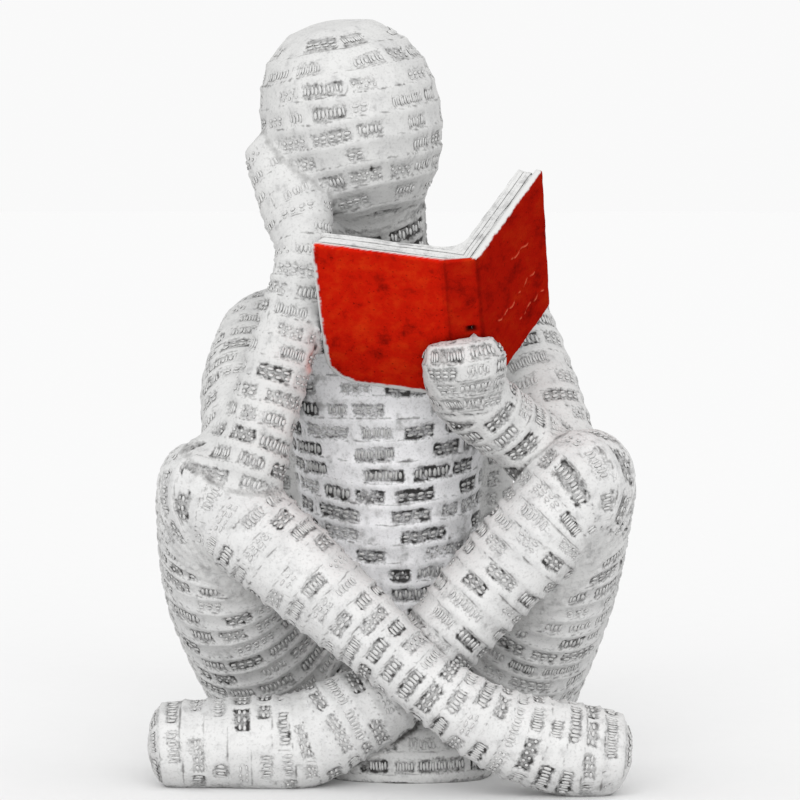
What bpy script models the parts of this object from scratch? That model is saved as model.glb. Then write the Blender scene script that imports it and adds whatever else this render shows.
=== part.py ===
"""Small resin statue of a seated, cross-legged reader with an open book.

The body is one casting: limbs of round and oval sections are laid over each other,
fused into a single skin and cut flat underneath. The book is a casting of its own,
glued into a seat in the hand and against the other forearm.
"""

import math

import bmesh
import bpy
from mathutils import Matrix, Vector

# Driving dimensions, in metres and degrees.
STATUE_HEIGHT = 0.120
BOARD_WIDTH = 0.0206
BOARD_HEIGHT = 0.0319
BOARD_THICKNESS = 0.0010
SPINE_WIDTH = 0.0050
WORN_CORNER_RADIUS = 0.0055
BOARD_CORNER_RADIUS = 0.0010
PAGES_THICKNESS = 0.0028
PAGES_INSET = 0.0006
GLUE_GAP = 0.0003
BOOK_TILT_DEG = 47.5
BOOK_LEAN_DEG = -5.5
LEFT_BOARD_DEG = 17.0
RIGHT_BOARD_DEG = 56.0

# The body's stations are shares of its height, about a millimetre each.
UNITS_HIGH = 121.3
UNIT = STATUE_HEIGHT / UNITS_HIGH
RING_SIDES = 32
STEPS_BETWEEN_STATIONS = 5
END_RINGS = 4
SKIN_CELL = 0.85 * UNIT
SKIN_SMOOTHING = 6
SKIN_SHARE_KEPT = 0.068
# Moves the middle of the finished statue's outline, seen from above, over the origin.
TO_MIDDLE = Vector((0.1, 3.6, 0.0))
HEAD_HALF_SIZE = Vector((14.7, 17.2, 16.4))

# Where the joints are: x to the viewer's right, y away from the viewer, z up.
HEAD = Vector((-6.4, -6.0, 104.4))
NECK_BASE = Vector((-1.2, 3.0, 77.0))
PELVIS = Vector((0.0, 18.0, 11.0))
RIGHT_SHOULDER = Vector((-20.9, 4.0, 69.6))
RIGHT_ELBOW = Vector((-22.3, -22.0, 51.5))
RIGHT_WRIST = Vector((-13.8, -19.0, 84.0))
RIGHT_FINGERTIPS = Vector((-20.0, -11.5, 99.5))
LEFT_SHOULDER = Vector((18.4, 7.0, 72.6))
LEFT_ELBOW = Vector((27.2, -9.5, 49.0))
LEFT_PALM = Vector((12.4, -20.5, 61.5))
LEFT_KNUCKLES = Vector((11.2, -27.0, 67.6))
RIGHT_HIP = Vector((-16.5, 14.0, 12.0))
RIGHT_KNEE = Vector((-28.8, -19.5, 46.6))
RIGHT_ANKLE = Vector((5.0, -30.5, 17.8))
RIGHT_INSTEP = Vector((16.0, -30.8, 10.6))
RIGHT_TOES = Vector((33.9, -29.0, 6.6))
LEFT_HIP = Vector((17.0, 14.0, 12.0))
LEFT_KNEE = Vector((30.2, -19.0, 48.0))
LEFT_ANKLE = Vector((0.5, -19.5, 15.0))
LEFT_INSTEP = Vector((-14.0, -20.8, 7.4))
LEFT_TOES = Vector((-35.6, -20.5, 6.7))
SPINE_FOOT = Vector((12.5, -18.0, 61.3))


def clear_scene():
    for obj in list(bpy.data.objects):
        bpy.data.objects.remove(obj, do_unlink=True)


def paint(name, color, roughness):
    """A Principled material with one colour."""
    material = bpy.data.materials.new(name)
    material.use_nodes = True
    shader = material.node_tree.nodes["Principled BSDF"]
    shader.inputs["Base Color"].default_value = (*color, 1.0)
    shader.inputs["Roughness"].default_value = roughness
    shader.inputs["Metallic"].default_value = 0.0
    return material


def add_object(name, mesh, material=None, helper=False):
    obj = bpy.data.objects.new(name, mesh)
    bpy.context.scene.collection.objects.link(obj)
    if material:
        mesh.materials.append(material)
    if helper:
        obj.hide_render = True
        obj.display_type = "WIRE"
    return obj


def mesh_from(bm, name):
    bmesh.ops.recalc_face_normals(bm, faces=bm.faces)
    mesh = bpy.data.meshes.new(name)
    bm.to_mesh(mesh)
    bm.free()
    return mesh


def through(stations):
    """Rows of numbers on a smooth curve through every station (Catmull-Rom)."""
    ends = [stations[0], *stations, stations[-1]]
    rows = []
    for p0, p1, p2, p3 in zip(ends, ends[1:], ends[2:], ends[3:]):
        for step in range(STEPS_BETWEEN_STATIONS):
            t = step / STEPS_BETWEEN_STATIONS
            rows.append([
                b + 0.5 * t * ((c - a) + t * (2 * a - 5 * b + 4 * c - d) + t**2 * (3 * b - a - 3 * c + d))
                for a, b, c, d in zip(p0, p1, p2, p3)
            ])
    rows.append(list(stations[-1]))
    return rows


def station(point, half_width, half_depth=None):
    return (*point, half_width, half_width if half_depth is None else half_depth)


def ring_matrix(center, along, side, half_width, half_depth):
    """Places a unit circle across the limb: its width lies along side."""
    width_axis = (side - along * side.dot(along)).normalized()
    depth_axis = along.cross(width_axis)
    columns = [width_axis * half_width, depth_axis * half_depth, along]
    turn = Matrix([[column[i] for column in columns] for i in range(3)])
    return Matrix.Translation(center) @ turn.to_4x4()


def limb(bm, stations, side=(1, 0, 0), bluntness=(1.0, 1.0)):
    """A closed shape of oval rings through (x, y, z, half width, half depth) stations.

    Each end is domed by its bluntness times the half width there.
    """
    rows = through(stations)
    centers = [Vector(row[:3]) * UNIT for row in rows]
    alongs = []
    for i in range(len(rows)):
        before, after = centers[max(i - 1, 0)], centers[min(i + 1, len(rows) - 1)]
        alongs.append((after - before).normalized())
    rings = []
    for i, row in enumerate(rows):
        rings.append((centers[i], alongs[i], row[3] * UNIT, row[4] * UNIT))
    for first, sign, dome in ((True, -1, bluntness[0]), (False, 1, bluntness[1])):
        center, along, half_width, half_depth = rings[0 if first else -1]
        reach = min(half_width, half_depth) * dome
        for k in range(1, END_RINGS + 1):
            angle = math.radians(86) * k / END_RINGS
            ring = (
                center + along * sign * reach * math.sin(angle),
                along,
                half_width * math.cos(angle),
                half_depth * math.cos(angle),
            )
            rings.insert(0 if first else len(rings), ring)
    previous = None
    for i, (center, along, half_width, half_depth) in enumerate(rings):
        made = bmesh.ops.create_circle(
            bm,
            cap_ends=i in (0, len(rings) - 1),
            radius=1.0,
            segments=RING_SIDES,
            matrix=ring_matrix(center, along, Vector(side), half_width, half_depth),
        )
        edges = list({edge for vert in made["verts"] for edge in vert.link_edges})
        if previous:
            bmesh.ops.bridge_loops(bm, edges=previous + edges)
        previous = edges


def head(bm):
    """Smooth faceless head, tipped onto its right hand and bowed to the book."""
    pose = Matrix.Rotation(math.radians(-8), 3, "Y") @ Matrix.Rotation(math.radians(20), 3, "X")
    made = bmesh.ops.create_uvsphere(bm, u_segments=RING_SIDES, v_segments=RING_SIDES // 2, radius=1.0)
    for vert in made["verts"]:
        across, behind, up = vert.co
        lower = max(0.0, -up) ** 2
        crown = 1 + (0.26 * up**2 * (1 - up**2) if up > 0 else 0.0)
        width = (HEAD_HALF_SIZE.x - 0.3 * lower) * crown
        depth = (HEAD_HALF_SIZE.y - 3.0 * lower) * crown
        height = up * HEAD_HALF_SIZE.z * crown
        aside = 1.8 * lower - 0.8 * max(0.0, up) ** 2
        shaped = Vector((across * width + aside, behind * depth - 3.0 * lower, height))
        vert.co = (HEAD + pose @ shaped) * UNIT
    limb(bm, [
        station(NECK_BASE, 8.4),
        station(NECK_BASE.lerp(HEAD, 0.3) + Vector((0.8, 0, 0)), 7.9),
        station(NECK_BASE.lerp(HEAD, 0.6) + Vector((0.9, 0, 0)), 9.0),
    ])


def torso(bm):
    """Belly and chest, the broad bent back behind them, and the yoke of the shoulders."""
    limb(bm, [
        station(PELVIS + Vector((0, 2, -9)), 19, 14),
        station(PELVIS, 20.5, 15),
        station((0, 15, 24), 17.5, 13),
        station((-0.3, 11.5, 37), 15.2, 12),
        station((-0.5, 8.0, 49), 15.4, 11.8),
        station((-0.8, 5.8, 60), 17.4, 11.4),
        station((-1.0, 5.0, 69), 19.5, 10.6),
        station((-1.1, 4.4, 75), 17.0, 9.0),
        station(NECK_BASE, 10, 7.5),
    ])
    limb(bm, [
        station((0, 19, 20), 20.5, 10),
        station((-0.2, 17, 32), 20.6, 9),
        station((-0.4, 14, 44), 20.8, 8.5),
        station((-0.6, 11, 56), 19.6, 8.5),
        station((-0.8, 8, 66), 18.5, 8),
    ])
    limb(bm, [
        station(RIGHT_SHOULDER, 7.4),
        station((-11, 5.0, 73.2), 7.9),
        station((-1.2, 4.8, 75.4), 8.8),
        station((9, 5.6, 74.6), 8.2),
        station(LEFT_SHOULDER, 7.4),
    ], side=(0, 1, 0))


def arms(bm):
    """Each elbow rests on its thigh. One hand holds the cheek, the other the book."""
    limb(bm, [
        station(RIGHT_SHOULDER, 7.6),
        station(RIGHT_SHOULDER.lerp(RIGHT_ELBOW, 0.5) + Vector((-1.5, 0, 0.4)), 7.6),
        station(RIGHT_ELBOW, 6.4),
    ])
    limb(bm, [
        station(RIGHT_ELBOW, 5.8),
        station(RIGHT_ELBOW.lerp(RIGHT_WRIST, 0.5) + Vector((0.7, 0, 0)), 5.5),
        station(RIGHT_ELBOW.lerp(RIGHT_WRIST, 0.75) + Vector((0.8, 0, 0)), 5.2),
        station(RIGHT_WRIST, 4.6),
        station(RIGHT_WRIST.lerp(RIGHT_FINGERTIPS, 0.45) + Vector((1.4, 0, 0)), 6.2, 4.2),
        station(RIGHT_FINGERTIPS, 4.0, 3.2),
    ], side=(1, -0.6, 0.3))
    limb(bm, [
        station(LEFT_SHOULDER, 7.7),
        station(LEFT_SHOULDER.lerp(LEFT_ELBOW, 0.5) + Vector((0.4, 0, 0)), 7.3),
        station(LEFT_ELBOW, 6.8),
    ])
    limb(bm, [
        station(LEFT_ELBOW, 6.2),
        station(LEFT_ELBOW.lerp(LEFT_PALM, 0.5), 6.0),
        station(LEFT_PALM, 6.4, 5.4),
        station(LEFT_KNUCKLES, 7.0, 4.8),
    ])


def legs(bm):
    """Thighs rise to the knees; the shins cross and end in feet laid on their sides."""
    limb(bm, [
        station(RIGHT_HIP, 14.0, 12.5),
        station(RIGHT_HIP.lerp(RIGHT_KNEE, 0.5) + Vector((-2.5, 0, 0)), 11.6),
        station(RIGHT_KNEE, 8.6),
    ])
    limb(bm, [
        station(LEFT_HIP, 14.0, 12.5),
        station(LEFT_HIP.lerp(LEFT_KNEE, 0.5) + Vector((1.6, 0, 0)), 11.3),
        station(LEFT_KNEE, 8.6),
    ])
    limb(bm, [
        station(RIGHT_KNEE, 8.2),
        station(RIGHT_KNEE.lerp(RIGHT_ANKLE, 0.35), 7.8),
        station(RIGHT_KNEE.lerp(RIGHT_ANKLE, 0.7), 6.6),
        station(RIGHT_ANKLE, 5.5),
        station(RIGHT_INSTEP, 6.7),
        station(RIGHT_INSTEP.lerp(RIGHT_TOES, 0.55) + Vector((0, 0, -0.8)), 7.5),
        station(RIGHT_TOES, 6.9),
    ], side=(0, 1, 0), bluntness=(1.0, 0.55))
    limb(bm, [
        station(LEFT_KNEE, 8.2),
        station(LEFT_KNEE.lerp(LEFT_ANKLE, 0.4), 7.8),
        station(LEFT_KNEE.lerp(LEFT_ANKLE, 0.75), 6.8),
        station(LEFT_ANKLE, 6.4),
        station(LEFT_ANKLE.lerp(LEFT_INSTEP, 0.5) + Vector((0, 0, -0.2)), 7.2),
        station(LEFT_INSTEP, 7.7),
        station(LEFT_INSTEP.lerp(LEFT_TOES, 0.6), 7.2),
        station(LEFT_TOES, 6.9),
    ], side=(0, 1, 0), bluntness=(1.0, 0.45))
    limb(bm, [station((0, 16, 2), 17, 9), station((2.5, -4, 3), 15, 8.5), station((2.5, -11, 3), 14, 8)])


def book_frame():
    """Book axes in the statue: x across, y to the reader, z up the spine from its foot."""
    lean = Matrix.Rotation(math.radians(BOOK_LEAN_DEG), 4, "Y")
    tilt = Matrix.Rotation(math.radians(BOOK_TILT_DEG), 4, "X")
    return Matrix.Translation((SPINE_FOOT + TO_MIDDLE) * UNIT) @ lean @ tilt


def on_board(side, angle_deg, distance, depth):
    """A point in the book's section: distance out from the spine's edge, depth behind the cover's face."""
    angle = math.radians(angle_deg)
    across = Vector((side * math.cos(angle), math.sin(angle)))
    inward = Vector((-side * math.sin(angle), math.cos(angle)))
    return Vector((side * SPINE_WIDTH / 2, 0)) + across * distance + inward * depth


def leaf_corner(depth):
    """Where both boards' faces meet at a depth behind the cover, at the foot of the open pages."""
    left = on_board(-1, LEFT_BOARD_DEG, 0, depth)
    right = on_board(1, RIGHT_BOARD_DEG, 0, depth)
    left_way = on_board(-1, LEFT_BOARD_DEG, 1, depth) - left
    right_way = on_board(1, RIGHT_BOARD_DEG, 1, depth) - right
    share = (right - left).cross(right_way) / left_way.cross(right_way)
    return left + left_way * share


def open_slab(width, near, far, low, high, corners):
    """Both boards, or both page blocks, of the open book, as one solid between two depths.

    corners are the radii of the fore edge's lower left, upper left, lower right and upper right.
    """
    left, right = (-1, LEFT_BOARD_DEG), (1, RIGHT_BOARD_DEG)
    outline = [
        on_board(*left, width, near),
        on_board(*left, 0, near),
        on_board(*right, 0, near),
        on_board(*right, width, near),
        on_board(*right, width, far),
        leaf_corner(far),
        on_board(*left, width, far),
    ]
    bm = bmesh.new()
    face = bm.faces.new([bm.verts.new((point.x, point.y, low)) for point in outline])
    raised = bmesh.ops.extrude_face_region(bm, geom=[face])["geom"]
    top = [item for item in raised if isinstance(item, bmesh.types.BMVert)]
    bmesh.ops.translate(bm, verts=top, vec=(0, 0, high - low))
    middle = (low + high) / 2
    for radius, left_side, lower in zip(corners, (True, True, False, False), (True, False, True, False)):
        if radius:
            spots = [outline[0], outline[6]] if left_side else [outline[3], outline[4]]
            ends = [
                vert for vert in bm.verts
                if (vert.co.z < middle) == lower
                and any((vert.co.xy - spot).length < 1e-6 for spot in spots)
            ]
            edge = bm.edges.get(ends)
            bmesh.ops.bevel(
                bm, geom=[edge], offset=radius, segments=5, profile=0.5, affect="EDGES", material=-1
            )
    return mesh_from(bm, "slab")


def book(material):
    """Two painted boards and a spine, with the open pages standing in from their edges."""
    worn, small = WORN_CORNER_RADIUS, BOARD_CORNER_RADIUS
    boards = open_slab(BOARD_WIDTH, 0, BOARD_THICKNESS, 0, BOARD_HEIGHT, (worn, small, small, small))
    obj = add_object("book", boards, material)
    obj.matrix_world = book_frame()
    pages = open_slab(
        BOARD_WIDTH - PAGES_INSET,
        BOARD_THICKNESS / 2,
        BOARD_THICKNESS + PAGES_THICKNESS,
        PAGES_INSET,
        BOARD_HEIGHT - PAGES_INSET,
        (worn, small, small, small),
    )
    block = add_object("pages", pages, helper=True)
    block.matrix_world = book_frame()
    join = obj.modifiers.new("pages", "BOOLEAN")
    join.operation = "UNION"
    join.object = block
    return obj


def book_seat():
    """The room that the book and its glue take in the body."""
    gap = GLUE_GAP
    far = BOARD_THICKNESS + PAGES_THICKNESS + gap
    room = open_slab(BOARD_WIDTH + gap, -gap, far, -gap, BOARD_HEIGHT + gap, (0, 0, 0, 0))
    obj = add_object("book_seat", room, helper=True)
    obj.matrix_world = book_frame()
    return obj


def ground_block():
    """Everything below the surface that the statue stands on."""
    bm = bmesh.new()
    size = STATUE_HEIGHT * 2
    bmesh.ops.create_cube(bm, size=size, matrix=Matrix.Translation((0, 0, -size / 2)))
    return add_object("ground_block", mesh_from(bm, "ground_block"), helper=True)


def figure(material, cutters):
    bm = bmesh.new()
    head(bm)
    torso(bm)
    arms(bm)
    legs(bm)
    bmesh.ops.translate(bm, verts=bm.verts, vec=TO_MIDDLE * UNIT)
    obj = add_object("figure", mesh_from(bm, "figure"), material)
    skin = obj.modifiers.new("one skin", "REMESH")
    skin.mode = "VOXEL"
    skin.voxel_size = SKIN_CELL
    skin.use_smooth_shade = True
    smooth = obj.modifiers.new("smoothed joins", "SMOOTH")
    smooth.factor = 0.5
    smooth.iterations = SKIN_SMOOTHING
    facets = obj.modifiers.new("fewer facets", "DECIMATE")
    facets.ratio = SKIN_SHARE_KEPT
    for cutter in cutters:
        cut = obj.modifiers.new(cutter.name, "BOOLEAN")
        cut.operation = "DIFFERENCE"
        cut.object = cutter
    return obj


def main():
    clear_scene()
    resin = paint("washed white resin", (0.80, 0.80, 0.79), 0.75)
    red = paint("red enamel paint", (0.72, 0.03, 0.015), 0.45)
    figure(resin, [ground_block(), book_seat()])
    book(red)


main()
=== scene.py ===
import math
import random

import bmesh
import bpy
import numpy as np
from mathutils import Matrix, Vector, noise
from mathutils.bvhtree import BVHTree
from mathutils.kdtree import KDTree


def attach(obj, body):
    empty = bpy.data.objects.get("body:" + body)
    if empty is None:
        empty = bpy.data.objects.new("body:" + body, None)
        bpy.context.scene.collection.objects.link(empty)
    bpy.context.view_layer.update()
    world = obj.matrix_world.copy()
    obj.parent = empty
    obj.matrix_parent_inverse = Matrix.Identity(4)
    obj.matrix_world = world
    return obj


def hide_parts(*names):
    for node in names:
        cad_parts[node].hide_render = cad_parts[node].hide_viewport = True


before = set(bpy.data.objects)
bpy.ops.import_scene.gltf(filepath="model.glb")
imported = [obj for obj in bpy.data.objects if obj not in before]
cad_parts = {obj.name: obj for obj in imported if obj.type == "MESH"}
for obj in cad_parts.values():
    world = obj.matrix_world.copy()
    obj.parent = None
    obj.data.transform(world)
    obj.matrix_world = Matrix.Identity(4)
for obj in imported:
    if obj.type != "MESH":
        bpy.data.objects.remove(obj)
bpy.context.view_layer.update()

mm = 0.001

# The body's measures: stations are shares of the height, as in the model's own source.
statue = {
    "height": 0.120,
    "stations": 121.3,
    "toMiddle": (0.1, 3.6, 0.0),
}
unit = statue["height"] / statue["stations"]


def toFrame(point):
    return (np.array(point, float) + statue["toMiddle"]) * unit


def linearColor(hexColor):
    # sRGB hex to linear red, green, blue, alpha
    parts = [int(hexColor[i:i + 2], 16) / 255 for i in (0, 2, 4)]
    return tuple(p / 12.92 if p <= 0.04045 else ((p + 0.055) / 1.055) ** 2.4 for p in parts) + (1.0,)


def addNode(material, kind, inputs=None, **settings):
    # one node with its settings; an input takes a value or another node's output
    tree = material.node_tree
    node = tree.nodes.new(kind)
    for name, value in settings.items():
        setattr(node, name, value)
    for name, value in (inputs or {}).items():
        if isinstance(value, bpy.types.NodeSocket):
            tree.links.new(value, node.inputs[name])
        else:
            node.inputs[name].default_value = value
    return node


def newMaterial(name):
    material = bpy.data.materials.new(name)
    material.use_nodes = True
    material.node_tree.nodes.clear()
    return material


def finishMaterial(material, shader):
    addNode(material, "ShaderNodeOutputMaterial", {"Surface": shader.outputs[0]})
    return material


def addObject(name, data):
    obj = bpy.data.objects.new(name, data)
    bpy.context.scene.collection.objects.link(obj)
    return obj


def addPiece(name, mesh, material):
    mesh.materials.clear()
    mesh.materials.append(material)
    return addObject(name, mesh)


def meshFrom(bm, name):
    mesh = bpy.data.meshes.new(name)
    bm.to_mesh(mesh)
    bm.free()
    return mesh


def worked(mesh, modifiers):
    # the mesh with modifiers worked in, each a kind and its settings
    obj = addObject("working", mesh)
    for kind, settings in modifiers.items():
        modifier = obj.modifiers.new(kind, kind)
        for name, value in settings.items():
            setattr(modifier, name, value)
    graph = bpy.context.evaluated_depsgraph_get()
    result = bpy.data.meshes.new_from_object(obj.evaluated_get(graph))
    bpy.data.objects.remove(obj)
    return result


def remeshed(mesh, cell, smoothing):
    # one closed skin of even small faces over a mesh
    return worked(mesh, {
        "REMESH": {"mode": "VOXEL", "voxel_size": cell},
        "SMOOTH": {"factor": 0.5, "iterations": smoothing},
    })


def thinned(mesh, most):
    # the same form in fewer triangles: those of flat places go first
    triangles = sum(len(face.vertices) - 2 for face in mesh.polygons)
    return worked(mesh, {"DECIMATE": {"ratio": most / triangles}})


def rowsOf(items, name, wide, kind):
    values = np.empty(len(items) * wide, kind)
    items.foreach_get(name, values)
    return values.reshape(-1, wide)


def vertexArrays(mesh):
    return [rowsOf(mesh.vertices, name, 3, np.float32).astype(float) for name in ("co", "normal")]


def finishMesh(mesh, points, attributes):
    # new places for the mesh's points, smooth faces, and what its material reads
    mesh.vertices.foreach_set("co", points.astype(np.float32).ravel())
    for name, values in attributes.items():
        layer = mesh.attributes.new(name, "FLOAT", "POINT")
        layer.data.foreach_set("value", np.asarray(values, np.float32))
    mesh.polygons.foreach_set("use_smooth", [True] * len(mesh.polygons))
    mesh.update()


def treeOf(mesh, points):
    return BVHTree.FromPolygons([Vector(p) for p in points], [tuple(face.vertices) for face in mesh.polygons])


def grain(points, size, seed):
    # smooth noise from -1 to 1 with features about size long
    shift = Vector((seed * 7.3, seed * 3.1, seed * 5.7))
    return np.array([noise.noise(Vector(p) / size + shift) for p in points])


def unevenness(points, waves):
    # several grains together: mm high, mm long and seed of each
    return sum(grain(points, size * mm, seed) * high for high, size, seed in waves)


def softStep(values, low, high):
    t = np.clip((values - low) / (high - low), 0, 1)
    return t * t * (3 - 2 * t)


# Limbs

# joints in stations: x to the viewer's right, y away, z up
joints = {
    "head": (-6.4, -6.0, 104.4), "neckBase": (-1.2, 3.0, 77.0),
    "rightShoulder": (-20.9, 4.0, 69.6), "rightElbow": (-22.3, -22.0, 51.5),
    "rightWrist": (-13.8, -19.0, 84.0), "rightFingertips": (-20.0, -11.5, 99.5),
    "leftShoulder": (18.4, 7.0, 72.6), "leftElbow": (27.2, -9.5, 49.0), "leftPalm": (12.4, -20.5, 61.5),
    "rightHip": (-16.5, 14.0, 12.0), "rightKnee": (-28.8, -19.5, 46.6), "rightAnkle": (5.0, -30.5, 17.8),
    "rightInstep": (16.0, -30.8, 10.6), "rightToes": (33.9, -29.0, 6.6),
    "leftHip": (17.0, 14.0, 12.0), "leftKnee": (30.2, -19.0, 48.0), "leftAnkle": (0.5, -19.5, 15.0),
    "leftInstep": (-14.0, -20.8, 7.4), "leftToes": (-35.6, -20.5, 6.7),
}


def through(names, *stations):
    # a limb's stations on its way through the named joints: each is how many joints along it is, its half
    # sizes to the front and across, or one for both, and a shift
    names = names.split()
    path = []
    for place, size, *shift in stations:
        first = int(place)
        spot = joints[names[first]]
        if place > first:
            spot = Vector(spot).lerp(Vector(joints[names[first + 1]]), place - first)
            spot += Vector(shift[0] if shift else (0, 0, 0))
        path.append((*spot, *(size if isinstance(size, tuple) else (size, size))))
    return path


# what the two legs' strips share
legStrips = {"pitch": 3.55, "wash": 0.68, "spread": (0.12, 1.5), "step": 0.19, "blank": 0.3, "tone": 0.1}

# pitch is mm from row to row of words, wash how dark they are wiped, spread how much that varies, blank the
# share of long gaps, step mm that a strip overlaps the next, tone how much lighter white is painted on the
# front as painted light, then a painted shade laid over the whole limb, and favour mm by which a limb wins
# over its neighbour at its start
limbs = {
    "head": {
        "ball": joints["head"], "halfSize": (17.6, 15.2, 17.4), "tilt": (-11, 3),
        "pitch": 3.6, "wash": 0.42, "spread": (0.15, 1.6), "blank": 0.36, "step": 0.12, "zone": "upper",
    },
    "neck": {
        "path": through("neckBase head", (0, 8.4), (0.3, 7.9, (0.8, 0, 0)), (0.6, 9.0, (0.9, 0, 0))),
        # painted shade: a darker wash over the whole neck, for the shade under the chin
        "pitch": 3.2, "wash": 0.95, "paintedShade": 0.34, "zone": "upper",
    },
    "torso": {
        "path": [
            (0, 20, 2, 14, 19), (0, 18, 11, 15, 20.5), (0, 15, 24, 13, 17.5), (-0.3, 11.5, 37, 12, 15.2),
            (-0.5, 8, 49, 11.8, 15.4), (-0.8, 5.8, 60, 11.4, 17.4), (-1, 5, 69, 10.6, 19.5),
            (-1.1, 4.4, 75, 9, 17),
        ],
        "pitch": 3.5, "wash": 1.0, "spread": (0.5, 1.3), "blank": 0.3, "tone": 1.0, "zone": "torso",
    },
    "back": {
        "path": [
            (0, 19, 20, 10, 20.5), (-0.2, 17, 32, 9, 20.6), (-0.4, 14, 44, 8.5, 20.8),
            (-0.6, 11, 56, 8.5, 19.6), (-0.8, 8, 66, 8, 18.5),
        ],
        "pitch": 3.5, "wash": 0.8, "blank": 0.25, "zone": "torso",
    },
    "yoke": {
        "path": [
            (-15, 4.5, 71.4, 7.7, 7.7), (-11, 5, 73.2, 7.9, 7.9), (-1.2, 4.8, 75.4, 8.8, 8.8),
            (9, 5.6, 74.6, 8.2, 8.2), (13, 6.2, 73.6, 7.9, 7.9),
        ],
        "pitch": 3.6, "wash": 0.6, "zone": "torso",
    },
    "rightUpperArm": {
        "path": through("rightShoulder rightElbow", (0, 7.6), (0.5, 7.6, (-1.5, 0, 0.4)), (1, 6.4)),
        "pitch": 3.6, "wash": 0.55, "zone": "upper",
    },
    "rightForearm": {
        "path": through(
            "rightElbow rightWrist rightFingertips", (0, 5.8), (0.5, 5.5, (0.7, 0, 0)),
            (0.75, 5.2, (0.8, 0, 0)), (1, 4.6), (1.45, (6.2, 4.2), (1.4, 0, 0)), (2, (4.0, 3.2)),
        ),
        "side": (1, -0.6, 0.3), "favour": 1.6, "pitch": 3.5, "wash": 0.7, "fadeAbove": 0.030, "zone": "upper",
    },
    "leftUpperArm": {
        "path": through("leftShoulder leftElbow", (0, 7.7), (0.5, 7.3, (0.4, 0, 0)), (1, 6.8)),
        "pitch": 3.6, "wash": 0.65, "zone": "upper",
    },
    "leftForearm": {
        "path": through("leftElbow leftPalm", (0, 6.2), (0.5, 6.0), (0.93, (5.4, 6.2))),
        "favour": 1.4, "pitch": 3.3, "wash": 0.8, "zone": "upper",
    },
    "leftHand": {
        "ball": (11.7, -24.6, 65.6), "halfSize": (7.6, 7.4, 8.0), "tilt": (-8, 10),
        "pitch": 2.75, "wash": 0.65, "zone": "upper",
    },
    "rightLeg": {
        "path": through(
            "rightHip rightKnee rightAnkle rightInstep rightToes", (0, (12.5, 14.0)),
            (0.5, 11.6, (-2.5, 0, 0)), (0.85, 9.4, (-0.8, 0, 0)), (1.05, 8.7, (0, 1.0, -1.4)), (1.16, 8.1),
            (1.35, 7.8), (1.7, 6.6), (2, 5.5), (3, 6.7), (3.55, 7.5, (0, 0, -0.8)), (4, 6.9),
        ),
        **legStrips, "zone": "legs",
    },
    "leftLeg": {
        "path": through(
            "leftHip leftKnee leftAnkle leftInstep leftToes", (0, (12.5, 14.0)), (0.5, 11.3, (1.6, 0, 0)),
            (0.85, 9.4, (0.6, 0, 0)), (1.05, 8.7, (0, 1.0, -1.4)), (1.16, 8.1), (1.4, 7.8), (1.75, 6.8),
            (2, 6.4), (2.5, 7.2), (3, 7.7), (3.6, 7.2), (4, 6.9),
        ),
        **legStrips, "zone": "legs",
    },
    "block": {
        "ball": (2.5, -3, 3), "halfSize": (16, 15.5, 8.6), "tilt": (0, 0),
        "pitch": 3.4, "wash": 0.95, "zone": "legs",
    },
}

# limbs that run into each other without a crease
sameSkin = [{"torso", "yoke", "neck", "back"}, {"leftForearm", "leftHand"}]
# limbs that flow together on the outside and crease only in the hollow between them
softSkin = [
    {"rightUpperArm", "yoke", "torso", "back"}, {"leftUpperArm", "yoke", "torso", "back"},
    {"torso", "leftLeg", "back"}, {"torso", "rightLeg", "back"},
    {"leftUpperArm", "leftForearm"}, {"rightUpperArm", "rightForearm"}, {"neck", "head"},
]

limbRead = {
    "fan": 0.75,  # how far rows fan out round the outside of a bend
    "blend": 0.35,  # mm, over which the steps of a path run into each other
    "batch": 4000,  # points read at once
    "ballCap": 0.88, "pathCap": 0.84,  # shares of a limb's rounded end past which it has no words
    "ballRing": 0.02, "pathRing": 0.2,  # the least square of a ring's shrink on such an end
}

words = {
    "height": 2.05,  # mm, across the row
    "stroke": 1.42,  # mm from one group of strokes to the next
    "depth": 0.20,  # mm that a word's panel is sunk
    "step": 0.08,  # mm that each strip of a row overlaps the next
    "bulge": 0.08,  # mm that the bands between the rows swell
    "gap": (0.9, 2.1), "longGap": (3.0, 6.5),  # mm between two words
    "longGapShare": 0.18,
    "firstGap": 2.5, "lastGap": 0.5,  # mm, the most before a ring's first word and the least after its last
    "lastWash": 0.8,  # the share of the wash on a ring's last word
    "fade": (5, 0.7),  # mm over which a limb's words fade above its fadeAbove, and how much
    "firstRow": (0.3, 0.7),  # of a row from the limb's end
    "faintest": 0.11,  # a word fainter than this is left out
    "counts": (2, 3, 3, 3, 4, 4, 5),
    "spread": (0.4, 1.35),  # how much the wash varies from word to word
    "floor": 0.42,  # the share of the outline's wash that stays on the panel's floor
    "waver": 0.55,  # mm that a row strays
    "wavers": ((8, 0.6), (17, 0.9)),  # mm long, and each one's share
    "line": (0.60, 0.30),  # the strip's edge: its place as a share of the height, and its width in mm
    "seamWidth": 0.26,  # mm
    "seamShare": 0.14,  # of the gaps have the end of a strip in them
    "seed": 11,
}


def smoothPath(stations, steps=10):
    # rows of numbers on a smooth curve through every station
    rows = np.array(stations, float)
    ends = np.vstack([2 * rows[0] - rows[1], rows, 2 * rows[-1] - rows[-2]])
    result = []
    for p0, p1, p2, p3 in zip(ends, ends[1:], ends[2:], ends[3:]):
        for t in np.linspace(0, 1, steps, endpoint=False):
            bend, twist = 2 * p0 - 5 * p1 + 4 * p2 - p3, 3 * p1 - p0 - 3 * p2 + p3
            result.append(0.5 * (2 * p1 + (p2 - p0) * t + bend * t**2 + twist * t**3))
    result.append(rows[-1])
    return np.array(result)


def unitRows(rows):
    return rows / np.maximum(np.linalg.norm(rows, axis=-1, keepdims=True), 1e-12)


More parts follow.
